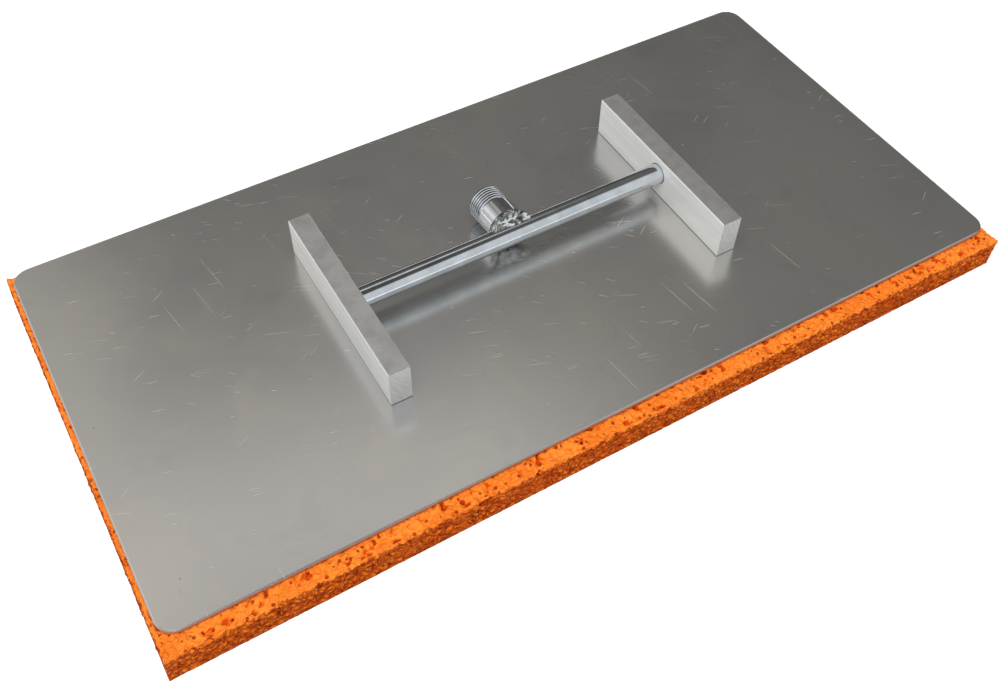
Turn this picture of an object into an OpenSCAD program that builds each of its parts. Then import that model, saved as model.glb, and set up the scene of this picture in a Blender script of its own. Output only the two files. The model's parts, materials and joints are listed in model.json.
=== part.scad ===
// Sponge float: a sponge pad glued under a metal plate, with two flat bars that carry
// a round rod and a threaded pole connector that swings over the plate.
// Millimetres, +Z up. The origin is the middle of the sponge's working face.

/* [Sponge] */
// Length of the sponge pad along X
sponge_l = 500; // [400:1:600]
// Width of the sponge pad along Y
sponge_w = 252; // [200:1:300]
// Thickness of the sponge pad
sponge_t = 20; // [12:0.5:40]
// Thickness of the adhesive between sponge and plate
film_t = 0.3; // [0.2:0.05:1]

/* [Plate] */
// Thickness of the plate
plate_t = 2; // [1.5:0.1:4]
// Radius of the plate's corners
corner_r = 10; // [4:0.5:25]
// Width of the bevel round the plate's top rim
rim_w = 0.8; // [0.3:0.1:1.2]
// Sponge left bare beyond the plate's left end
margin_left = 2.5; // [0:0.5:15]
// Sponge left bare beyond the plate's right end
margin_right = 0.5; // [0:0.5:15]
// Sponge left bare along the near side (-Y)
margin_near = 9; // [0:0.5:15]
// Sponge left bare along the far side (+Y)
margin_far = 1.5; // [0:0.5:15]

/* [Bars] */
// Length of each bar along Y
bar_l = 120; // [90:1:150]
// Thickness of each bar along X
bar_w = 12; // [10:0.5:16]
// Height of each bar above the plate
bar_h = 25; // [21:0.5:35]
// Distance between the bars, centre to centre
bar_spacing = 204; // [120:1:280]
// Shift of the pair of bars from the plate's middle along X
bars_x = 1.6; // [-5:0.1:5]
// Shift of the pair of bars from the plate's middle along Y
bars_y = -0.9; // [-5:0.1:5]
// Width of the small bevels along the bars' upper edges
arris = 0.4; // [0.2:0.1:1]

/* [Rod] */
// Diameter of the rod
rod_d = 12; // [10:0.5:14.5]
// Part of the bar's height at which the rod's axis lies
rod_level = 0.572; // [0.52:0.002:0.6]
// Radial play between rod and bar
rod_play = 0.05; // [0.02:0.01:0.09]
// Play at each end of the rod
end_play = 0.3; // [0.2:0.1:1]
// Metal left behind each blind bore
bore_wall = 3; // [2:0.5:5]

/* [Pole connector] */
// Shift of the connector from the middle of the rod
nipple_x = -1; // [-20:1:20]
// Distance from the rod's axis to the open end
reach = 33; // [30:0.5:45]
// Outer diameter of the pipe
pipe_d = 21.3; // [21.1:0.1:22]
// Bore of the pipe
pipe_bore = 16.1; // [13:0.1:17]
// Full turns of thread cut
turns = 6; // [5:1:8]
// Gap left between thread and plate when the connector is laid back
rest_gap = 0.9; // [0.4:0.1:2]

/* [Weld] */
// Height of the weld on the pipe, above the rod's surface
weld_rise = 2.2; // [1.5:0.1:4]
// How far the weld spreads along the rod beyond the pipe
weld_spread = 2.3; // [1:0.1:4]

/* [Screws] */
// Thread diameter of the countersunk screws
screw_d = 4; // [3:0.5:4.5]
// Length of the countersunk screws
screw_l = 12; // [8:1:16]
// Distance between the two screws of a bar
screw_spacing = 84; // [50:1:85]

/* [Hidden] */
$fn = 96;
// plate outline
plate_l = sponge_l - margin_left - margin_right;
plate_w = sponge_w - margin_near - margin_far;
plate_x = (margin_left - margin_right) / 2;
plate_y = (margin_near - margin_far) / 2;
rim_h = rim_w / 2;
film_inset = 1;
// levels
film_z = sponge_t;
plate_z = film_z + film_t;
deck_z = plate_z + plate_t;
// bars and rod
carrier_x = plate_x + bars_x;
carrier_y = plate_y + bars_y;
rod_r = rod_d / 2;
rod_rise = bar_h * rod_level;
rod_z = deck_z + rod_rise;
bore_r = rod_r + rod_play;
bore_depth = bar_w - bore_wall;
clear_gap = bar_spacing - bar_w;
rod_l = clear_gap + 2 * (bore_depth - end_play);
rod_bevel = 0.6;
// pole connector with the half inch pipe thread
thread_d = 20.955;
thread_pitch = 1.814;
pipe_r = pipe_d / 2;
crest_r = thread_d / 2;
groove_depth = 0.6403 * thread_pitch;
flank_run = groove_depth * tan(27.5);
land = (thread_pitch - 2 * flank_run) / 2;
tip_r = crest_r - groove_depth;
tip_bevel = 1.1;
thread_start = reach - tip_bevel - turns * thread_pitch;
cope_e = rod_r - 1;
// lean of the connector below the level when laid back, from the gap to the plate
crest_e = reach - tip_bevel;
lean = asin((rod_rise - rest_gap) / norm([crest_e, crest_r])) - atan2(crest_r, crest_e);
// weld
toe_e = rod_r + weld_rise;
heel_e = 0.8;
weld_r = pipe_r + weld_spread;
// screws
screw_r = screw_d / 2;
head_r = 0.9375 * screw_d;
head_rim = 0.25;
head_cone = head_r - screw_r;
tap_play = 0.05;
tap_spare = 2;
screw_pitch = 0.175 * screw_d;
screw_groove = 0.4 * screw_pitch;
thread_from = head_rim + head_cone + screw_pitch;
thread_to = screw_l - screw_pitch;

module sponge_pad() {
    color([0.96, 0.5, 0.13])
        translate([-sponge_l / 2, -sponge_w / 2, 0])
            cube([sponge_l, sponge_w, sponge_t]);
}

// the film follows the plate's outline, a little inside its rim
module glue_film() {
    color([0.85, 0.75, 0.5])
        translate([plate_x, plate_y, film_z])
            rounded_slab(plate_l - 2 * film_inset, plate_w - 2 * film_inset, corner_r - film_inset, film_t);
}

// slab with round corners, middle of its underside at the origin
module rounded_slab(l, w, r, t) {
    translate([-l / 2 + r, -w / 2, 0])
        cube([l - 2 * r, w, t]);
    translate([-l / 2, -w / 2 + r, 0])
        cube([l, w - 2 * r, t]);
    for (sx = [-1, 1], sy = [-1, 1])
        translate([sx * (l / 2 - r), sy * (w / 2 - r), 0])
            cylinder(r = r, h = t);
}

// cross-section of a slab whose top edges are bevelled
module bevelled_section(w, t, run, drop) {
    polygon([
        [-w / 2, 0],
        [w / 2, 0],
        [w / 2, t - drop],
        [w / 2 - run, t],
        [-w / 2 + run, t],
        [-w / 2, t - drop]
    ]);
}

module base_plate() {
    color([0.75, 0.75, 0.73])
        difference() {
            translate([plate_x, plate_y, plate_z])
                plate_blank();
            all_screw_places()
                screw_hole();
        }
}

module plate_blank() {
    rotate([90, 0, 90])
        translate([0, 0, -plate_l / 2 + corner_r])
            linear_extrude(height = plate_l - 2 * corner_r)
                bevelled_section(plate_w, plate_t, rim_w, rim_h);
    rotate([90, 0, 0])
        translate([0, 0, -plate_w / 2 + corner_r])
            linear_extrude(height = plate_w - 2 * corner_r)
                bevelled_section(plate_l, plate_t, rim_w, rim_h);
    for (sx = [-1, 1], sy = [-1, 1])
        translate([sx * (plate_l / 2 - corner_r), sy * (plate_w / 2 - corner_r), 0]) {
            cylinder(r = corner_r, h = plate_t - rim_h);
            translate([0, 0, plate_t - rim_h])
                cylinder(r1 = corner_r, r2 = corner_r - rim_w, h = rim_h);
        }
}

// bar on edge with a blind bore; side is +1 when the bore opens towards +X
module bar(side) {
    color([0.8, 0.8, 0.8])
        difference() {
            translate([bar_x(side), carrier_y, deck_z])
                rotate([90, 0, 0])
                    translate([0, 0, -bar_l / 2])
                        linear_extrude(height = bar_l)
                            bevelled_section(bar_w, bar_h, arris, arris);
            translate([bar_x(side) + side * (bar_w / 2 - bore_depth), carrier_y, rod_z])
                rotate([0, side * 90, 0])
                    cylinder(r = bore_r, h = bore_depth + 1);
            screw_places(side)
                screw_hole();
        }
}

function bar_x(side) = carrier_x - side * bar_spacing / 2;

module left_bar() {
    bar(1);
}

module right_bar() {
    bar(-1);
}

// underside of the plate below each screw of one bar
module screw_places(side) {
    for (sy = [-1, 1])
        screw_place(side, sy)
            children();
}

module screw_place(side, sy) {
    translate([bar_x(side), carrier_y + sy * screw_spacing / 2, plate_z])
        children();
}

module all_screw_places() {
    for (side = [-1, 1])
        screw_places(side)
            children();
}

// countersink, clearance and tapped hole, entered from below
module screw_hole() {
    translate([0, 0, -1])
        cylinder(r = head_r, h = head_rim + 1);
    translate([0, 0, head_rim])
        cylinder(r1 = head_r, r2 = screw_r, h = head_cone);
    cylinder(r = screw_r + tap_play, h = screw_l + tap_spare);
}

// countersunk screw, head flush with the plate's underside, point up
module screw() {
    color([0.7, 0.7, 0.72])
        difference() {
            rotate_extrude()
                polygon(concat(
                    [[0, 0], [head_r, 0], [head_r, head_rim], [screw_r, head_rim + head_cone]],
                    screw_profile(),
                    [[screw_r - screw_groove, screw_l], [0, screw_l]]
                ));
            cross_recess();
        }
}

// section of one groove of a screw's thread, in parts of its pitch
function screw_section() = [
    [screw_r, -0.45],
    [screw_r - screw_groove, -0.05],
    [screw_r - screw_groove, 0.05],
    [screw_r, 0.45]
];

// grooves of the screw's thread from below its head to its point
function screw_profile() = [
    for (z = [thread_from : screw_pitch : thread_to], p = screw_section())
        [p[0], z + p[1] * screw_pitch]
];

// cross-shaped driver recess in the screw's head
module cross_recess() {
    for (a = [0, 90])
        rotate([0, 0, a])
            translate([-0.55 * screw_d, -0.11 * screw_d, -1])
                cube([1.1 * screw_d, 0.22 * screw_d, 1 + 0.3 * screw_d]);
}

module left_screw_near() {
    screw_place(1, -1)
        screw();
}

module left_screw_far() {
    screw_place(1, 1)
        screw();
}

module right_screw_near() {
    screw_place(-1, -1)
        screw();
}

module right_screw_far() {
    screw_place(-1, 1)
        screw();
}

// rod from bore to bore, with bevelled ends
module pivot_rod() {
    color([0.72, 0.74, 0.77])
        translate([carrier_x - rod_l / 2, carrier_y, rod_z])
            rotate([0, 90, 0])
                rotate_extrude()
                    polygon([
                        [0, 0],
                        [rod_r - rod_bevel, 0],
                        [rod_r, rod_bevel],
                        [rod_r, rod_l - rod_bevel],
                        [rod_r - rod_bevel, rod_l],
                        [0, rod_l]
                    ]);
}

// frame of the connector: its axis is the local Z, starting on the rod's axis
module connector_place() {
    translate([carrier_x + nipple_x, carrier_y, rod_z])
        rotate([-90 - lean, 0, 0])
            children();
}

// section of one groove of the thread, starting at the end of a crest
function groove() = [
    [crest_r, 0],
    [tip_r, flank_run],
    [tip_r, flank_run + land],
    [crest_r, 2 * flank_run + land]
];

// one groove per turn between flat crests, from the plain pipe to the tip
function thread_profile() = [
    for (turn = [0 : turns - 1], p = groove())
        [p[0], thread_start + land / 2 + turn * thread_pitch + p[1]]
];

module pole_nipple() {
    color([0.78, 0.8, 0.83])
        connector_place()
            difference() {
                rotate_extrude()
                    polygon(concat(
                        [
                            [pipe_bore / 2, cope_e],
                            [pipe_r, cope_e],
                            [pipe_r, thread_start - land],
                            [crest_r, thread_start - land / 2]
                        ],
                        thread_profile(),
                        [[crest_r, crest_e], [tip_r, reach], [pipe_bore / 2, reach]]
                    ));
                rod_space();
            }
}

// room of the rod, seen in the connector's frame
module rod_space() {
    rotate([0, 90, 0])
        cylinder(r = rod_r, h = 6 * pipe_d, center = true);
}

// ring of weld that closes the gap between the square-cut pipe and the rod
module weld_bead() {
    color([0.6, 0.6, 0.6])
        connector_place()
            difference() {
                intersection() {
                    weld_cone();
                    weld_wedge();
                }
                rod_space();
                translate([0, 0, cope_e])
                    cylinder(r = pipe_r, h = toe_e);
            }
}

module weld_cone() {
    rotate_extrude()
        polygon([
            [0, heel_e],
            [weld_r, heel_e],
            [weld_r, rod_r / 2],
            [pipe_r + weld_spread / 2, rod_r],
            [pipe_r + 0.2, toe_e],
            [0, toe_e]
        ]);
}

// the weld narrows across the rod down to the rod's own width
module weld_wedge() {
    rotate([90, 0, 90])
        linear_extrude(height = 2 * weld_r + 2, center = true)
            polygon([
                [-rod_r - 0.4, heel_e - 1],
                [rod_r + 0.4, heel_e - 1],
                [rod_r + 0.4, heel_e],
                [(rod_r + pipe_r) / 2 + 0.5, rod_r / 2],
                [pipe_r + 0.1, rod_r],
                [pipe_r + 0.3, toe_e + 1],
                [-pipe_r - 0.3, toe_e + 1],
                [-pipe_r - 0.1, rod_r],
                [-(rod_r + pipe_r) / 2 - 0.5, rod_r / 2],
                [-rod_r - 0.4, heel_e]
            ]);
}

sponge_pad();
glue_film();
base_plate();
left_bar();
right_bar();
left_screw_near();
left_screw_far();
right_screw_near();
right_screw_far();
pivot_rod();
pole_nipple();
weld_bead();
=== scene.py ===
"""Looks of a sponge float: a porous sponge pad under an aluminium plate, two flat bars, and a rod with
a threaded pole connector that swings over the plate. Lengths are in metres, and MM is one millimetre."""
import math

import bmesh
import bpy
import numpy as np
from mathutils import Euler, Matrix, Vector
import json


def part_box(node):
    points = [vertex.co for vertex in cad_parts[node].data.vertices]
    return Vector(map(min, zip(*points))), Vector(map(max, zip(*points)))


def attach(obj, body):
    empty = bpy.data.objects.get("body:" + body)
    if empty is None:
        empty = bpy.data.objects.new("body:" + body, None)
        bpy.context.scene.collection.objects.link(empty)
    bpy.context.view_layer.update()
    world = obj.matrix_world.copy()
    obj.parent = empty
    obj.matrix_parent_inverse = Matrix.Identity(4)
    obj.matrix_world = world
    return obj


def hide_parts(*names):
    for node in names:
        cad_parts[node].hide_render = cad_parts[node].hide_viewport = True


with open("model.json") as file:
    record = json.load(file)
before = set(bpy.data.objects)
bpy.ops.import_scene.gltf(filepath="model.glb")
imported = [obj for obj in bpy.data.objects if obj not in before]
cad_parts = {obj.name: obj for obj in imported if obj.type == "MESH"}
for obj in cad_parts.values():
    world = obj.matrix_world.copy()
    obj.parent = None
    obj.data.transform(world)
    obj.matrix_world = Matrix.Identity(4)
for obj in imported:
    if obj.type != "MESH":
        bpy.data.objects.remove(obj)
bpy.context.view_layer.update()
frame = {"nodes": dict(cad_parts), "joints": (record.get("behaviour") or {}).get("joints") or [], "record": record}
MM = 0.001

# Driving dimensions, read from the CAD frame.
SPONGE_LOW, SPONGE_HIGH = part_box("sponge_pad")
PLATE_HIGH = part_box("base_plate")[1]
BAR_LOW, BAR_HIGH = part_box("left_bar")
RIGHT_BAR_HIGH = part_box("right_bar")[1]
ROD_LOW, ROD_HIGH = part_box("pivot_rod")
NIPPLE_LOW, NIPPLE_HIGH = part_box("pole_nipple")
PIVOT = Vector(frame["joints"][0]["pos_m"])
THREAD = frame["record"]["mounts"][0]
ROD_RADIUS = (ROD_HIGH.z - ROD_LOW.z) / 2

# The pipe thread and the pipe that it is cut on.
PITCH = 1.814 * MM
CREST = THREAD["dims"]["r_mm"] * MM
DEPTH = 0.6403 * PITCH
PIPE_RADIUS = (NIPPLE_HIGH.x - NIPPLE_LOW.x) / 2
BORE_RADIUS = 8.05 * MM
TIP_BEVEL = 1.1 * MM


# ---------------------------------------------------------------- wiring of materials

class Signal:
    """A shader socket that can be used in arithmetic; every operator adds a Math node."""

    def __init__(self, finish, socket):
        self.finish = finish
        self.socket = socket

    def math(self, operation, first, second=0.0):
        return self.finish.node("ShaderNodeMath", {"operation": operation}, {0: first, 1: second})

    def __add__(self, other):
        return self.math("ADD", self, other)

    def __radd__(self, other):
        return self.math("ADD", other, self)

    def __sub__(self, other):
        return self.math("SUBTRACT", self, other)

    def __rsub__(self, other):
        return self.math("SUBTRACT", other, self)

    def __mul__(self, other):
        return self.math("MULTIPLY", self, other)

    def __rmul__(self, other):
        return self.math("MULTIPLY", other, self)

    def __gt__(self, other):
        return self.math("GREATER_THAN", self, other)

    def at_least(self, other):
        return self.math("MAXIMUM", self, other)

    def above(self, low, high):
        """0 below low, 1 above high and smooth in between."""
        return self.finish.node(
            "ShaderNodeMapRange",
            {"interpolation_type": "SMOOTHSTEP"},
            {"Value": self, "From Min": low, "From Max": high},
        )

    def below(self, low, high):
        return 1.0 - self.above(low, high)


class Wiring:
    """Makes the nodes of one node tree."""

    def __init__(self, tree):
        self.tree = tree

    def node(self, kind, settings, sockets, output=0):
        made = self.tree.nodes.new(kind)
        for name, value in settings.items():
            setattr(made, name, value)
        for name, value in sockets.items():
            if isinstance(value, Signal):
                self.tree.links.new(value.socket, made.inputs[name])
            else:
                made.inputs[name].default_value = value
        return Signal(self, made.outputs[output])

    def mix(self, factor, first, second, blend="MIX"):
        """Blend of two colours."""
        return self.node(
            "ShaderNodeMix", {"data_type": "RGBA", "blend_type": blend},
            {0: factor, 6: colour(first), 7: colour(second)}, 2,
        )

    def axis(self, vector, name):
        """One coordinate of a vector: X, Y or Z."""
        return self.node("ShaderNodeSeparateXYZ", {}, {0: vector}, name)


class Finish(Wiring):
    """A material for this object, with its own small set of tools for patterns in millimetres."""

    def __init__(self, name, **constants):
        self.material = bpy.data.materials.new(name)
        self.material.use_nodes = True
        super().__init__(self.material.node_tree)
        self.shader = self.tree.nodes["Principled BSDF"]
        for socket, value in constants.items():
            self.shader.inputs[socket.replace("_", " ")].default_value = value
        place = self.node("ShaderNodeTexCoord", {}, {}, "Object")
        self.place = self.node("ShaderNodeVectorMath", {"operation": "SCALE"}, {0: place, "Scale": 1 / MM})

    def feed(self, socket, signal):
        self.tree.links.new(signal.socket, self.shader.inputs[socket])

    def stretched(self, scale, turn=(0, 0, 0), shift=(0, 0, 0)):
        """The place on the piece, turned in degrees and then scaled along each axis."""
        angles = tuple(math.radians(a) for a in turn)
        turned = self.node(
            "ShaderNodeMapping", {"vector_type": "POINT"},
            {"Vector": self.place, "Location": shift, "Rotation": angles},
        )
        return self.node("ShaderNodeVectorMath", {"operation": "MULTIPLY"}, {0: turned, 1: scale})

    def noise(self, size, detail=2.0, roughness=0.5, distortion=0.0, scale=(1, 1, 1), turn=(0, 0, 0),
              shift=(0, 0, 0)):
        """Cloudy noise whose features are about size millimetres across."""
        return self.node(
            "ShaderNodeTexNoise", {},
            {"Vector": self.stretched(scale, turn, shift), "Scale": 1 / size, "Detail": detail,
             "Roughness": roughness, "Distortion": distortion},
        )

    def cells(self, size, shift=(0, 0, 0), feature="F1", output="Distance"):
        """Irregular cells about size millimetres across."""
        return self.node(
            "ShaderNodeTexVoronoi", {"feature": feature},
            {"Vector": self.stretched((1, 1, 1), (0, 0, 0), shift), "Scale": 1 / size, "Randomness": 1.0},
            output,
        )

    def bump(self, height, distance, strength=1.0):
        bump = self.node(
            "ShaderNodeBump", {}, {"Height": height, "Distance": distance * MM, "Strength": strength},
        )
        self.feed("Normal", bump)


def colour(value):
    return value if isinstance(value, Signal) else (*value, 1.0)


# ---------------------------------------------------------------- materials

def scratches(finish, length, width, turn, per_area, seed, curve=0.8):
    """Thin strokes of about this length and width; per_area is how many there are on 10,000 mm2."""
    cell = 5.0
    kept = per_area * cell * length * cell * width / 10000
    sway = finish.node(
        "ShaderNodeTexNoise", {}, {"Vector": finish.place, "Scale": 1 / 60.0, "Detail": 0.0}, "Color",
    )
    sway = finish.node("ShaderNodeVectorMath", {"operation": "SCALE"}, {0: sway, "Scale": 4 * curve})
    bent = finish.node("ShaderNodeVectorMath", {"operation": "ADD"}, {0: finish.place, 1: sway})
    turned = finish.node(
        "ShaderNodeMapping", {"vector_type": "POINT"},
        {"Vector": bent, "Location": (seed * 17.3, seed * 5.1, 0), "Rotation": (0, 0, math.radians(turn))},
    )
    shape = (1 / (cell * length), 1 / (cell * width), 1 / (cell * length))
    vector = finish.node("ShaderNodeVectorMath", {"operation": "MULTIPLY"}, {0: turned, 1: shape})
    near = finish.node("ShaderNodeTexVoronoi", {}, {"Vector": vector, "Scale": 1.0})
    tint = finish.node("ShaderNodeTexVoronoi", {}, {"Vector": vector, "Scale": 1.0}, "Color")
    chosen = finish.node("ShaderNodeSeparateColor", {}, {"Color": tint})
    return near.below(0.3 / cell, 0.5 / cell) * (chosen > 1 - kept)


def sponge_finish():
    f = Finish("orange_sponge", Roughness=0.95, Specular_IOR_Level=0.1)
    f.shader.inputs["Subsurface Weight"].default_value = 0.08
    f.shader.inputs["Subsurface Radius"].default_value = (1.0, 0.3, 0.05)
    f.shader.inputs["Subsurface Scale"].default_value = 1.5 * MM
    depth = f.node("ShaderNodeAttribute", {"attribute_name": "pore_depth"}, {}, "Fac")
    patches = f.noise(30, 2)
    grain = f.noise(1.3, 4, 0.6)
    height = f.axis(f.place, "Z")
    side = height.below(SPONGE_HIGH.z / MM - 4.5, SPONGE_HIGH.z / MM - 1.5)
    lit = f.mix(patches.above(0.35, 0.7), (0.77, 0.208, 0.026), (0.71, 0.168, 0.018))
    lit = f.mix(grain.above(0.5, 0.8) * 0.25, lit, (0.66, 0.12, 0.006))
    flake = 3.2
    # random cells painted darker: partly random tone, and more of it on the side faces as painted shade
    flakes = f.cells(flake, shift=(1, 3, 8), output="Color")
    chance = f.node("ShaderNodeSeparateColor", {}, {"Color": flakes})
    lit = f.mix(chance.above(0.3, 0.95) * (0.2 + 0.28 * side), lit, (0.36, 0.04, 0.002))
    middle = f.cells(flake, shift=(1, 3, 8))
    # painted shade: the lower half of each cell darker on the side faces, as if lit from above
    shaded_cell_undersides = (middle - f.cells(flake, shift=(1, 3, 8.5))).above(-0.06, 0.12)
    lit = f.mix(shaded_cell_undersides * side * 0.78, lit, (0.34, 0.036, 0.002))
    walls = f.cells(flake, shift=(1, 3, 8), feature="DISTANCE_TO_EDGE")
    # painted shade in the creases between cells, stronger on the side faces
    crease_shade = walls.below(0.0, 0.11) * f.noise(4.0, 2).above(0.40, 0.52)
    lit = f.mix(crease_shade * (0.28 + 0.45 * side), lit, (0.42, 0.045, 0.002))
    # painted shade: the deeper the pore, the darker its colour
    shaded_pits = f.mix(depth.above(0.42, 0.70), lit, (0.50, 0.055, 0.002))
    shaded_pits = f.mix(depth.above(0.70, 0.98), shaded_pits, (0.14, 0.008, 0.0005))
    # small holes painted near-black as painted shade, and pressed in by the bump
    shaded_holes = f.cells(3.7, shift=(4, 9, 2)).below(0.19, 0.27) * f.noise(6, 2).above(0.46, 0.52)
    shade = f.mix(side, (1.0, 1.0, 1.0), (0.84, 0.69, 0.34))
    shade = f.mix(height.below(0.5, 7.0), shade, (0.78, 0.62, 0.30))
    facing = f.axis(f.node("ShaderNodeNewGeometry", {}, {}, "Normal"), "Z")
    shade = f.mix(facing.below(-0.8, -0.4) * height.below(2.0, 3.4), shade, (1.0, 1.0, 1.0))
    painted = f.mix(shaded_holes * 0.85, shaded_pits, (0.30, 0.018, 0.001))
    f.feed("Base Color", f.mix(1.0, painted, shade, "MULTIPLY"))
    raised = walls.above(0.0, 0.25) * (0.42 + 0.78 * side) - middle.above(0.05, 0.62) * 0.9 * side
    f.bump(raised - shaded_holes * 0.9 + grain * 0.2, 0.9, 1.0)
    return f.material


def plate_finish():
    f = Finish("mill_finish_plate")
    busy = f.noise(85, 2, shift=(30, 70, 0)).above(0.40, 0.56)
    rubbed = f.noise(45, 2, shift=(80, 10, 0)).above(0.56, 0.66)
    marks = (
        scratches(f, 18, 0.3, 24, 18, 1)
        + scratches(f, 8, 0.34, 12, 40, 2)
        + scratches(f, 11, 0.28, -32, 20, 3)
        + scratches(f, 34, 0.3, 83, 7, 4)
        + scratches(f, 3.5, 0.4, 30, 50, 5)
    ) * (0.15 + 0.65 * busy)
    rubs = (scratches(f, 14, 0.26, 20, 260, 6, 1.5) + scratches(f, 8, 0.24, 44, 260, 7, 1.5)) * rubbed * 0.8
    specks = f.cells(9.0).below(0.03, 0.05) * f.noise(30, 2, shift=(9, 4, 0)).above(0.5, 0.62)
    cloud = f.noise(130, 3, 0.55)
    smudge = f.noise(42, 4, 0.6, 0.6, shift=(50, 20, 0))
    fine = f.noise(0.8, 2, scale=(0.6, 1.5, 1))
    base = f.mix(cloud.above(0.3, 0.7), (0.555, 0.555, 0.55), (0.63, 0.615, 0.585))
    base = f.mix(smudge.above(0.52, 0.72) * 0.5, base, (0.66, 0.64, 0.59))
    base = f.mix(smudge.below(0.28, 0.42) * 0.5, base, (0.50, 0.505, 0.505))
    base = f.mix(fine.above(0.35, 0.8) * 0.12, base, (0.48, 0.47, 0.455))
    base = f.mix(specks * 0.75, base, (0.10, 0.09, 0.08))
    base = f.mix(marks + rubs, base, (0.97, 0.96, 0.94))
    height = f.axis(f.place, "Z")
    top = PLATE_HIGH.z / MM
    rim = height.below(top - 0.35, top - 0.03)
    base = f.mix(rim * 0.65, base, (0.24, 0.23, 0.22))
    # the plate's side face reddish-brown below its top edge: partly glue, partly a painted reflection of the
    # orange sponge
    glued = height.below(top - 0.7, top - 0.1)
    f.feed("Base Color", f.mix(glued * 0.85, base, (0.42, 0.15, 0.07)))
    f.feed("Metallic", 0.93 - 0.6 * glued - 0.16 * (marks + rubs))
    f.feed("Roughness", 0.155 + 0.06 * cloud + 0.06 * smudge + 0.02 * fine + 0.30 * (marks + rubs + glued))
    f.bump(cloud * 0.5 + marks * 0.1, 0.12, 0.5)
    return f.material


def bar_finish():
    f = Finish("extruded_bar")
    grain = f.noise(0.7, 3, 0.6, scale=(1, 0.02, 1))
    hair = f.noise(0.28, 1, scale=(1, 0.012, 1), shift=(3, 0, 7))
    bands = f.noise(5.0, 2, scale=(1, 0.03, 1), shift=(4, 0, 2))
    nicks = scratches(f, 3.0, 0.4, 84, 120, 8) + scratches(f, 5.0, 0.35, 35, 90, 9)
    flecks = f.cells(3.0, shift=(1, 5, 2)).below(0.05, 0.09) * f.noise(9, 2).above(0.5, 0.6)
    middle = (BAR_LOW.y + BAR_HIGH.y) / 2 / MM
    half = (BAR_HIGH.y - BAR_LOW.y) / 2 / MM
    from_middle = f.node("ShaderNodeMath", {"operation": "ABSOLUTE"}, {0: f.axis(f.place, "Y") - middle})
    on_end = from_middle > half - 0.02
    saw = f.noise(0.36, 2, 0.5, scale=(1, 1, 0.06), turn=(0, 32, 0))
    base = f.mix(bands.above(0.35, 0.65), (0.86, 0.86, 0.85), (0.93, 0.93, 0.92))
    base = f.mix(grain.above(0.5, 0.8) * 0.3, base, (0.74, 0.735, 0.72))
    height = f.axis(f.place, "Z")
    top = height > BAR_HIGH.z / MM - 0.3
    stained = f.noise(9, 3, 0.6, shift=(2, 8, 5)).above(0.35, 0.7)
    base = f.mix(top, base, f.mix(stained, (0.76, 0.76, 0.755), (0.63, 0.63, 0.625)))
    base = f.mix(flecks * (1 - on_end) * 0.7, base, (0.25, 0.24, 0.22))
    smear = f.noise(7, 3, 0.6, scale=(1, 0.25, 1), shift=(6, 1, 3)).above(0.5, 0.72)
    base = f.mix(smear * (1 - top) * 0.5, base, (0.99, 0.98, 0.96))
    base = f.mix(on_end, base, f.mix(saw.above(0.4, 0.6), (0.70, 0.695, 0.68), (0.84, 0.835, 0.82)))
    base = f.mix(nicks * (1 - on_end), base, (0.93, 0.92, 0.9))
    # painted shade: a dark line where the bar stands on the plate, and a dark ring round the rod on the bars'
    # inner faces
    joint_shade = height.below(BAR_LOW.z / MM + 0.2, BAR_LOW.z / MM + 0.7)
    from_pivot = f.node(
        "ShaderNodeVectorMath", {"operation": "MULTIPLY_ADD"},
        {0: f.place, 1: (0, 1, 1), 2: (0, -PIVOT.y / MM, -PIVOT.z / MM)},
    )
    from_pivot = f.node("ShaderNodeVectorMath", {"operation": "LENGTH"}, {0: from_pivot}, "Value")
    across = f.axis(f.place, "X")
    inner = (across > BAR_LOW.x / MM + 2) * (RIGHT_BAR_HIGH.x / MM - 2 - across > 0)
    rod = ROD_RADIUS / MM
    joint_shade = joint_shade.at_least(inner * from_pivot.below(rod + 0.25, rod + 0.6))
    f.feed("Metallic", 0.42 + 0.48 * top + 0.3 * on_end)
    f.feed("Base Color", f.mix(joint_shade * 0.9, base, (0.05, 0.045, 0.04)))
    f.feed("Roughness", 0.33 + 0.14 * grain + 0.06 * on_end + 0.15 * nicks)
    f.bump((grain * 0.35 + hair * 0.8) * (1 - on_end) + saw * 0.3 * on_end + nicks * 0.3, 0.09, 0.8)
    return f.material


def zinc_finish(name, tint, roughness, run, shaded_grooves=False):
    """Bright zinc plating; run is the direction of its drawn lines, as scales along X, Y and Z."""
    f = Finish(name, Metallic=1.0)
    lines = f.noise(0.55, 3, 0.6, scale=run)
    cloud = f.noise(14, 3, 0.6)
    spots = f.cells(2.4).below(0.05, 0.1) * f.noise(8, 2).above(0.52, 0.62)
    dull = tuple(c * 0.82 for c in tint)
    base = f.mix(cloud.above(0.35, 0.7), tint, dull)
    base = f.mix(spots * 0.6, base, (0.3, 0.29, 0.27))
    if shaded_grooves:
        # painted shade in the thread's grooves, the deeper the darker
        groove = f.node("ShaderNodeAttribute", {"attribute_name": "groove"}, {}, "Fac")
        base = f.mix(groove.above(0.2, 0.75) * 0.9, base, (0.07, 0.08, 0.09))
    f.feed("Base Color", base)
    f.feed("Roughness", roughness + 0.07 * lines + 0.05 * cloud + 0.2 * spots)
    f.bump(lines * 0.5 + cloud * 0.5, 0.05, 0.35)
    return f.material


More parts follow.
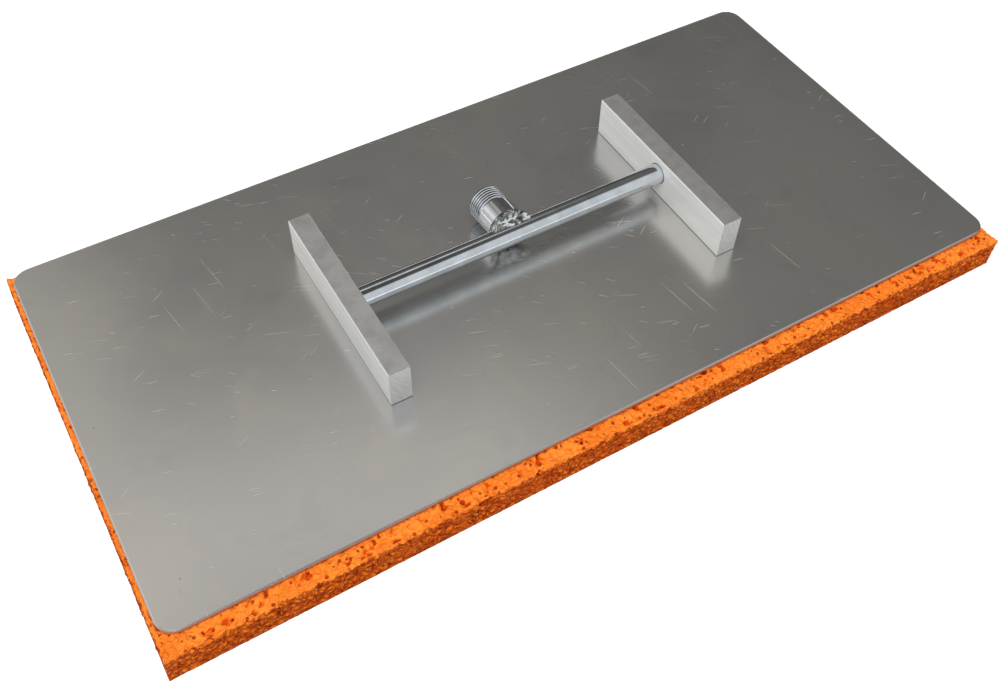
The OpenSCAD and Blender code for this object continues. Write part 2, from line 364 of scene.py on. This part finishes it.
def weld_finish():
    f = Finish("zinc_over_weld", Metallic=1.0)
    burnt = f.noise(4.2, 2, 0.5, 0.4)
    crust = f.noise(1.0, 3, 0.6, 0.5)
    base = f.mix(burnt.above(0.44, 0.58), (0.84, 0.86, 0.87), (0.27, 0.275, 0.245))
    f.feed("Base Color", base)
    f.feed("Roughness", 0.13 + 0.22 * burnt.above(0.45, 0.7) + 0.08 * crust)
    f.bump(burnt * 0.6 + crust * 0.1, 0.3, 0.3)
    return f.material


def glue_finish():
    f = Finish("dried_glue", Roughness=0.45)
    lumps = f.noise(2.5, 3)
    f.feed("Base Color", f.mix(lumps.above(0.35, 0.65), (0.55, 0.33, 0.10), (0.32, 0.16, 0.05)))
    f.bump(lumps, 0.2, 0.6)
    return f.material


def floor_finish():
    f = Finish("pale_floor", Roughness=0.9, Specular_IOR_Level=0.1)
    f.feed("Base Color", f.mix(f.noise(300, 2).above(0.3, 0.7), (0.93, 0.93, 0.93), (0.95, 0.95, 0.95)))
    return f.material


# ---------------------------------------------------------------- small modelling tools

def start():
    """Leaves edit mode and selects nothing, so that an operator meets only what is made next."""
    if bpy.context.object and bpy.context.object.mode != "OBJECT":
        bpy.ops.object.mode_set(mode="OBJECT")
    bpy.ops.object.select_all(action="DESELECT")


def select_edges(test):
    """Selects the edges of the mesh in edit mode whose two ends pass the test, and nothing else."""
    mesh = bmesh.from_edit_mesh(bpy.context.object.data)
    for edge in mesh.edges:
        edge.select_set(test(edge, edge.verts[0].co, edge.verts[1].co))
    mesh.select_flush_mode()
    bmesh.update_edit_mesh(bpy.context.object.data)


def extrude_edges(move=(0, 0, 0), resize=(1, 1, 1)):
    """Draws the selected edges out to a new row of faces."""
    bpy.ops.mesh.extrude_edges_move(TRANSFORM_OT_translate={"value": move})
    bpy.ops.transform.resize(value=resize, center_override=(0, 0, 0))


def read_points(mesh, what="co"):
    """Coordinates or normals of all vertices, one row each."""
    values = np.empty(len(mesh.vertices) * 3)
    mesh.vertices.foreach_get(what, values)
    return values.reshape(-1, 3)


def paint(piece, material):
    piece.data.materials.clear()
    piece.data.materials.append(material)


def finish_piece(piece, name, body, nodes, material):
    start()
    piece.name = name
    piece.data.name = name
    paint(piece, material)
    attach(piece, body)
    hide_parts(*nodes)
    return piece


# ---------------------------------------------------------------- sponge

def coin(ix, iy, iz, seed):
    """A repeatable number from 0 to 1 for each cell of a lattice."""
    mask = np.uint64(0xFFFFFFFF)
    h = (ix.astype(np.int64) * 73856093) ^ (iy.astype(np.int64) * 19349663) ^ (iz.astype(np.int64) * 83492791)
    h = (h ^ (seed * 2654435761)).astype(np.uint64) & mask
    h = ((h ^ (h >> np.uint64(13))) * np.uint64(1274126177)) & mask
    h = ((h ^ (h >> np.uint64(16))) * np.uint64(2246822519)) & mask
    h = h ^ (h >> np.uint64(15))
    return (h & np.uint64(0xFFFFFF)).astype(float) / 0x1000000


def cell_centre(ix, iy, iz, cell, seed):
    """A repeatable point inside each cell of a lattice, in millimetres."""
    return cell * np.stack([
        ix + coin(ix, iy, iz, seed),
        iy + coin(ix, iy, iz, seed + 1),
        iz + coin(ix, iy, iz, seed + 2),
    ], axis=1)


def bubbles(points, inward, cell, smallest, largest, share, seed):
    """How far each surface point has to go inwards to leave the bubbles it lies in, in millimetres."""
    depth = np.zeros(len(points))
    home = np.floor(points / cell).astype(np.int64)
    for step in np.ndindex(3, 3, 3):
        ix, iy, iz = (home + np.array(step) - 1).T
        radius = smallest + (largest - smallest) * coin(ix, iy, iz, seed + 3) ** 1.6
        there = coin(ix, iy, iz, seed + 4) < share
        centre = cell_centre(ix, iy, iz, cell, seed)
        offset = points - centre
        along = (offset * inward).sum(axis=1)
        inside = radius ** 2 - (offset ** 2).sum(axis=1)
        way_out = -along + np.sqrt(np.maximum(along ** 2 + inside, 0))
        depth = np.maximum(depth, np.where((inside > 0) & there, way_out, 0))
    return depth


def foam(points, cell, wall, seed):
    """Depth from 0 to 1 of the open cells of a foam: flat floors of uneven depth between thin walls."""
    home = np.floor(points / cell).astype(np.int64)
    nearest = np.full(len(points), 1e9)
    second = np.full(len(points), 1e9)
    depth = np.zeros(len(points))
    for step in np.ndindex(3, 3, 3):
        ix, iy, iz = (home + np.array(step) - 1).T
        centre = cell_centre(ix, iy, iz, cell, seed)
        away = np.linalg.norm(points - centre, axis=1)
        closer = away < nearest
        second = np.where(closer, nearest, np.minimum(second, away))
        depth = np.where(closer, coin(ix, iy, iz, seed + 3), depth)
        nearest = np.where(closer, away, nearest)
    inside = np.clip((second - nearest) / wall, 0, 1)
    inside = inside * inside * (3 - 2 * inside)
    groove = 0.14 * (1 - inside)
    pillow = 0.28 * np.clip(nearest / (0.6 * cell), 0, 1) ** 2
    deep = np.clip((depth - 0.86) / 0.14, 0, 1)
    return groove + pillow + 0.24 * depth + 0.8 * inside * np.where(deep > 0, 0.25 + 0.75 * deep, 0)


def waves(points, length, seed):
    """Smooth repeatable unevenness from -1 to 1 with the given wavelength."""
    rng = np.random.default_rng(seed)
    total = np.zeros(len(points))
    for _ in range(6):
        direction = rng.normal(size=3)
        direction *= 2 * math.pi / length / np.linalg.norm(direction) * rng.uniform(0.7, 1.5)
        total += np.sin(points @ direction + rng.uniform(0, 2 * math.pi))
    return total / 3


def sponge_blank(step, rim):
    """Fine box mesh of the pad; its top is fine along the bare rim and one flat face under the plate."""
    size = SPONGE_HIGH - SPONGE_LOW
    count = [round(size.x / step), round(size.y / step), round(size.z / step)]
    start()
    bpy.ops.mesh.primitive_grid_add(
        x_subdivisions=count[0], y_subdivisions=count[1], size=1, location=(0, 0, 0),
    )
    bpy.ops.object.mode_set(mode="EDIT")
    bpy.ops.transform.resize(value=(size.x, size.y, 1), center_override=(0, 0, 0))
    bpy.ops.mesh.flip_normals()
    bpy.ops.mesh.select_mode(type="EDGE")
    select_edges(lambda edge, a, b: edge.is_boundary)
    extrude_edges((0, 0, size.z))
    select_edges(lambda edge, a, b: abs(a.z - b.z) > step)
    bpy.ops.mesh.subdivide_edgering(number_cuts=count[2] - 1, interpolation="LINEAR")
    select_edges(lambda edge, a, b: edge.is_boundary)
    extrude_edges((0, 0, 0), ((size.x - 2 * rim) / size.x, (size.y - 2 * rim) / size.y, 1))
    outer = size.x / 2 - 1e-5, size.y / 2 - 1e-5

    def crosses_rim(edge, a, b):
        top = min(a.z, b.z) > size.z - 1e-5
        edge_of = [abs(p.x) > outer[0] or abs(p.y) > outer[1] for p in (a, b)]
        return top and edge_of[0] != edge_of[1]

    select_edges(crosses_rim)
    bpy.ops.mesh.subdivide_edgering(number_cuts=round(rim / step) - 1, interpolation="LINEAR")
    select_edges(lambda edge, a, b: edge.is_boundary)
    bpy.ops.mesh.edge_face_add()
    bpy.ops.object.mode_set(mode="OBJECT")
    return bpy.context.object


def rounded_brow(points, low, high, radius):
    """Points of the pad with the edge between its top and its sides turned round."""
    to_side = np.minimum(points - low, high - points)[:, :2]
    nearest = to_side.argmin(axis=1)
    rows = np.arange(len(points))
    across = np.clip(radius - to_side[rows, nearest], 0, None)
    down = np.clip(radius - (high[2] - points[:, 2]), 0, None)
    reach = np.hypot(across, down)
    pull = np.where(reach > radius, 1 - radius / np.maximum(reach, 1e-9), 0)
    turned = points.copy()
    turned[rows, nearest] -= np.sign(points[rows, nearest]) * across * pull
    turned[:, 2] -= down * pull
    return turned


def sponge_pad():
    """Open-cell pad: bubbles cut by the faces leave pits, with thin uneven walls between them."""
    step = 0.6 * MM
    rim = 14 * MM
    pad = sponge_blank(step, rim)
    mesh = pad.data
    points = read_points(mesh) / MM
    low = np.array(SPONGE_LOW) / MM
    high = np.array(SPONGE_HIGH) / MM
    corner_reach = 3.0
    gap_low = np.clip(1 - (points - low) / corner_reach, 0, 1) ** 2
    gap_high = np.clip(1 - (high - points) / corner_reach, 0, 1) ** 2
    inward = gap_low - gap_high
    inward /= np.maximum(np.linalg.norm(inward, axis=1, keepdims=True), 1e-6)
    warp = np.stack([waves(points, 6.5, seed) for seed in (11, 12, 13)], axis=1)
    warp += 0.5 * np.stack([waves(points, 2.6, seed) for seed in (14, 15, 16)], axis=1)
    bent = points + 0.55 * warp
    cells = 2.0 * foam(bent, 3.0, 0.8, 21) + 0.35 * foam(bent + 50, 1.8, 0.7, 31)
    pores = bubbles(bent, inward, 3.8, 0.55, 1.35, 0.9, 41)
    lumps = 0.20 * (1 + waves(points, 4.6, 51)) + 0.05 * (1 + waves(points, 1.9, 52))
    deepest = 3.0
    depth = np.minimum(np.maximum(cells, 1.5 * pores) + lumps, deepest)
    depth -= 0.7 * (1 - np.abs(inward[:, 2]))
    # the pits fade out towards the foot and the upright corners, which stay crisp
    to_sides = np.minimum(points - low, high - points)[:, :2]
    from_sides = to_sides.min(axis=1)
    to_foot = np.maximum(from_sides, points[:, 2] - low[2])
    depth *= np.clip(to_foot / 1.8, 0.12, 1)
    depth *= np.clip(np.hypot(*to_sides.T) / 5, 0.3, 1)
    # the pad stays flat where it is glued, away from the rim
    glued = (points[:, 2] > high[2] - 0.01) & (from_sides >= rim / MM - 0.3)
    depth[glued] = 0
    brow_radius = 2.2
    moved = rounded_brow(points, low, high, brow_radius) + inward * depth[:, None]
    # the left face leans out a little towards its foot, as it was cut
    lean = 1.8
    near_left = np.clip(1 - (points[:, 0] - low[0]) / (rim / MM), 0, 1)
    moved[:, 0] -= lean * near_left * (high[2] - points[:, 2]) / (high[2] - low[2])
    mesh.vertices.foreach_set("co", (moved * MM).ravel())
    attribute = mesh.attributes.new("pore_depth", "FLOAT", "POINT")
    attribute.data.foreach_set("value", np.clip(depth / deepest, 0, 1))
    mesh.update()
    mesh.polygons.foreach_set("use_smooth", [True] * len(mesh.polygons))
    piece = finish_piece(pad, "sponge", "float", ["sponge_pad"], sponge_finish())


# ---------------------------------------------------------------- pole connector

def connector_frame():
    """Matrix that takes a shape built round Z, with its foot on the rod's axis, to its place on the rod."""
    axis = Vector(THREAD["axis"]).normalized()
    foot = Vector((THREAD["pos_m"][0], PIVOT.y, PIVOT.z))
    turn = Vector((0, 0, 1)).rotation_difference(axis).to_matrix().to_4x4()
    return Matrix.Translation(foot) @ turn


def thread_reach():
    """Distances from the rod's axis to the first crest, the last crest and the open end."""
    middle = (Vector(THREAD["pos_m"]) - connector_frame().translation).length
    half = THREAD["dims"]["length_mm"] * MM / 2
    return middle - half, middle + half, middle + half + TIP_BEVEL


def thread_radius(height, angle, first, last):
    """Radius of the cut thread at a height and angle, with its run-out and its bevelled tip."""
    turn = (height - first - PITCH * angle / (2 * math.pi)) / PITCH
    phase = np.abs(turn - np.round(turn)) * 2
    flank = np.clip((phase - 0.16) / 0.68, 0, 1)
    rounded = flank ** 2 * (3 - 2 * flank) * 0.35 + flank * 0.65
    run_out = np.clip((height - first) / (0.8 * PITCH), 0, 1)
    radius = CREST - DEPTH * rounded * run_out
    blend = np.clip((height - first + PITCH * 0.4) / (PITCH * 0.4), 0, 1)
    radius = PIPE_RADIUS + (radius - PIPE_RADIUS) * blend
    bevel = CREST - (height - last) * DEPTH / TIP_BEVEL
    return np.minimum(radius, bevel)


def pole_nipple():
    """Half nipple: pipe wall, helical thread, bevelled tip, open bore, and a foot coped over the rod."""
    first, last, tip = thread_reach()
    foot = ROD_RADIUS - 1 * MM
    thread_foot = first - PITCH
    rows = round((tip - thread_foot) / (PITCH / 14))
    start()
    bpy.ops.mesh.primitive_circle_add(
        vertices=144, radius=PIPE_RADIUS, fill_type="NOTHING", location=(0, 0, 0),
    )
    bpy.ops.object.mode_set(mode="EDIT")
    bpy.ops.mesh.select_mode(type="EDGE")
    bpy.ops.transform.translate(value=(0, 0, foot))
    extrude_edges((0, 0, thread_foot - foot))
    extrude_edges((0, 0, tip - thread_foot))
    select_edges(lambda edge, a, b: abs(a.z - b.z) > 1e-6 and max(a.z, b.z) > thread_foot + 1e-5)
    bpy.ops.mesh.subdivide_edgering(number_cuts=rows - 1, interpolation="LINEAR")
    select_edges(lambda edge, a, b: edge.is_boundary and min(a.z, b.z) > tip - 1e-6)
    inner = BORE_RADIUS / PIPE_RADIUS
    extrude_edges((0, 0, 0), (inner, inner, 1))
    extrude_edges((0, 0, foot - tip))
    select_edges(lambda edge, a, b: edge.is_boundary)
    bpy.ops.mesh.bridge_edge_loops()
    bpy.ops.mesh.select_all(action="SELECT")
    bpy.ops.mesh.normals_make_consistent(inside=False)
    bpy.ops.object.mode_set(mode="OBJECT")
    nipple = bpy.context.object
    mesh = nipple.data
    points = read_points(mesh)
    radius = np.hypot(points[:, 0], points[:, 1])
    angle = np.arctan2(points[:, 1], points[:, 0]) % (2 * math.pi)
    cut = (radius > PIPE_RADIUS - 1e-5) & (points[:, 2] > thread_foot + 1e-6)
    wanted = thread_radius(points[:, 2], angle, first, last)
    points[cut, :2] *= (wanted[cut] / radius[cut])[:, None]
    mesh.vertices.foreach_set("co", points.ravel())
    groove = mesh.attributes.new("groove", "FLOAT", "POINT")
    groove.data.foreach_set("value", np.where(cut, np.clip((CREST - wanted) / DEPTH, 0, 1), 0))
    mesh.transform(connector_frame())
    cope_over_rod(nipple)
    bpy.ops.object.shade_smooth_by_angle(angle=math.radians(32))
    tint = (0.84, 0.88, 0.92)
    material = zinc_finish("zinc_nipple", tint, 0.10, (1, 1, 0.25), shaded_grooves=True)
    finish_piece(nipple, "nipple", "swivel", ["pole_nipple"], material)


def cope_over_rod(piece):
    """Cuts the rod's cylinder out of the piece's foot."""
    start()
    bpy.ops.mesh.primitive_cylinder_add(
        vertices=128, radius=ROD_RADIUS, depth=40 * MM, rotation=(0, math.radians(90), 0),
        location=(piece.data.vertices[0].co.x, PIVOT.y, PIVOT.z),
    )
    cutter = bpy.context.object
    cut = piece.modifiers.new("cope", "BOOLEAN")
    cut.operation = "DIFFERENCE"
    cut.object = cutter
    cut.solver = "EXACT"
    start()
    piece.select_set(True)
    bpy.context.view_layer.objects.active = piece
    bpy.ops.object.modifier_apply(modifier=cut.name)
    bpy.data.objects.remove(cutter)


def weld():
    """Lumpy ring of weld: the CAD ring's shape, remeshed and swollen into overlapping beads."""
    node = frame["nodes"]["weld_bead"]
    start()
    mesh = node.data.copy()
    bead = bpy.data.objects.new("weld", mesh)
    bpy.context.collection.objects.link(bead)
    mesh.transform(node.matrix_world)
    bead.select_set(True)
    bpy.context.view_layer.objects.active = bead
    bpy.ops.object.mode_set(mode="EDIT")
    bpy.ops.mesh.select_all(action="SELECT")
    bpy.ops.mesh.remove_doubles(threshold=1e-6)
    bpy.ops.object.mode_set(mode="OBJECT")
    bpy.ops.mesh.customdata_custom_splitnormals_clear()
    remesh = bead.modifiers.new("even", "REMESH")
    remesh.mode = "VOXEL"
    remesh.voxel_size = 0.22 * MM
    bpy.ops.object.modifier_apply(modifier=remesh.name)
    mesh = bead.data
    points = read_points(mesh)
    normals = read_points(mesh, "normal")
    local = points / MM
    folds = 0.95 * np.abs(waves(local, 6.5, 72)) + 0.35 * np.abs(waves(local, 3.4, 73))
    reach = np.linalg.norm(local[:, 1:] - np.array(PIVOT)[1:] / MM, axis=1)
    heel = np.clip((9.2 - reach) / 3.0, 0.15, 1)
    points = points + normals * ((folds - 0.30) * heel * MM)[:, None]
    mesh.vertices.foreach_set("co", points.ravel())
    mesh.update()
    smooth = bead.modifiers.new("melt", "SMOOTH")
    smooth.factor = 0.5
    smooth.iterations = 4
    bpy.ops.object.modifier_apply(modifier=smooth.name)
    bpy.ops.object.shade_smooth()
    finish_piece(bead, "weld", "swivel", ["weld_bead"], weld_finish())


# ---------------------------------------------------------------- the rest of the object

def metal_parts():
    """The exact CAD pieces keep their shapes and get their finishes."""
    nodes = frame["nodes"]
    paint(nodes["base_plate"], plate_finish())
    paint(nodes["glue_film"], glue_finish())
    bars = bar_finish()
    paint(nodes["left_bar"], bars)
    paint(nodes["right_bar"], bars)
    paint(nodes["pivot_rod"], zinc_finish("drawn_zinc_rod", (0.75, 0.785, 0.82), 0.055, (0.012, 1, 1)))
    screws = zinc_finish("zinc_screw", (0.72, 0.72, 0.70), 0.22, (1, 1, 1))
    for name, node in nodes.items():
        if "screw" in name:
            paint(node, screws)


# ---------------------------------------------------------------- floor, light and camera

def floor():
    start()
    bpy.ops.mesh.primitive_plane_add(size=8, location=(0, 0, -0.2 * MM))
    ground = bpy.context.object
    ground.name = "floor"
    paint(ground, floor_finish())


def softbox(name, place, target, size, power):
    data = bpy.data.lights.new(name, "AREA")
    data.shape = "RECTANGLE"
    data.size, data.size_y = size
    data.energy = power
    light = bpy.data.objects.new(name, data)
    bpy.context.collection.objects.link(light)
    light.location = place
    light.rotation_euler = (Vector(target) - Vector(place)).to_track_quat("-Z", "Y").to_euler()
    light.visible_glossy = False


def daylight():
    """Pale room: bright overhead, on the left and behind the viewer; dim low down on the far side.

    Bearings and heights are in degrees. Each zone has a level between its edges, and the brightest counts.
    """
    world = bpy.data.worlds.new("room")
    world.use_nodes = True
    bpy.context.scene.world = world
    w = Wiring(world.node_tree)
    direction = w.node("ShaderNodeTexCoord", {}, {}, "Generated")
    x = w.axis(direction, "X")
    y = w.axis(direction, "Y")
    z = w.axis(direction, "Z")
    height = w.node("ShaderNodeMath", {"operation": "ARCSINE"}, {0: z}) * (180 / math.pi)
    bearing = w.node("ShaderNodeMath", {"operation": "ARCTAN2"}, {0: x, 1: y}) * (180 / math.pi)
    ahead = bearing.above(-115, -90) * bearing.below(95, 125)
    dim = 0.085 + 0.058 * height.above(28, 46) * height.below(62, 70)
    strip = 0.665 * height.above(51.5, 57) * height.below(64, 69) * bearing.below(38, 52)
    left_wall = 0.56 * bearing.below(-2, 6) * height.above(36, 43) * height.below(64, 69)
    left_low = 0.64 * bearing.below(-30, -14) * height.above(-5, 5) * height.below(38, 48)
    window = bearing.above(-84, -76) * bearing.below(-38, -32) * height.above(12, 18) * height.below(38, 44)
    behind = 0.74 * (1 - ahead) * height.below(58, 66)
    level = (dim + strip).at_least(left_wall).at_least(left_low).at_least(window).at_least(behind)
    tinted = w.mix(ahead * window.below(0.1, 0.5), (0.94, 0.975, 1.0), (1.0, 0.96, 0.905))
    background = world.node_tree.nodes["Background"]
    world.node_tree.links.new(tinted.socket, background.inputs["Color"])
    world.node_tree.links.new(level.socket, background.inputs["Strength"])
    softbox("overhead", (-0.5, -0.5, 2.0), (0, 0, 0), (1.5, 1.5), 62)


def camera():
    data = bpy.data.cameras.new("camera")
    data.sensor_width = 36
    data.lens = 39.216
    eye = bpy.data.objects.new("camera", data)
    bpy.context.collection.objects.link(eye)
    eye.location = (-0.2210, -0.3496, 0.4739)
    eye.rotation_euler = Euler([math.radians(a) for a in (37.836, -0.775, -30.402)])
    bpy.context.scene.camera = eye


bpy.context.scene.view_settings.view_transform = "Standard"
camera()
daylight()
floor()
metal_parts()
sponge_pad()
pole_nipple()
weld()
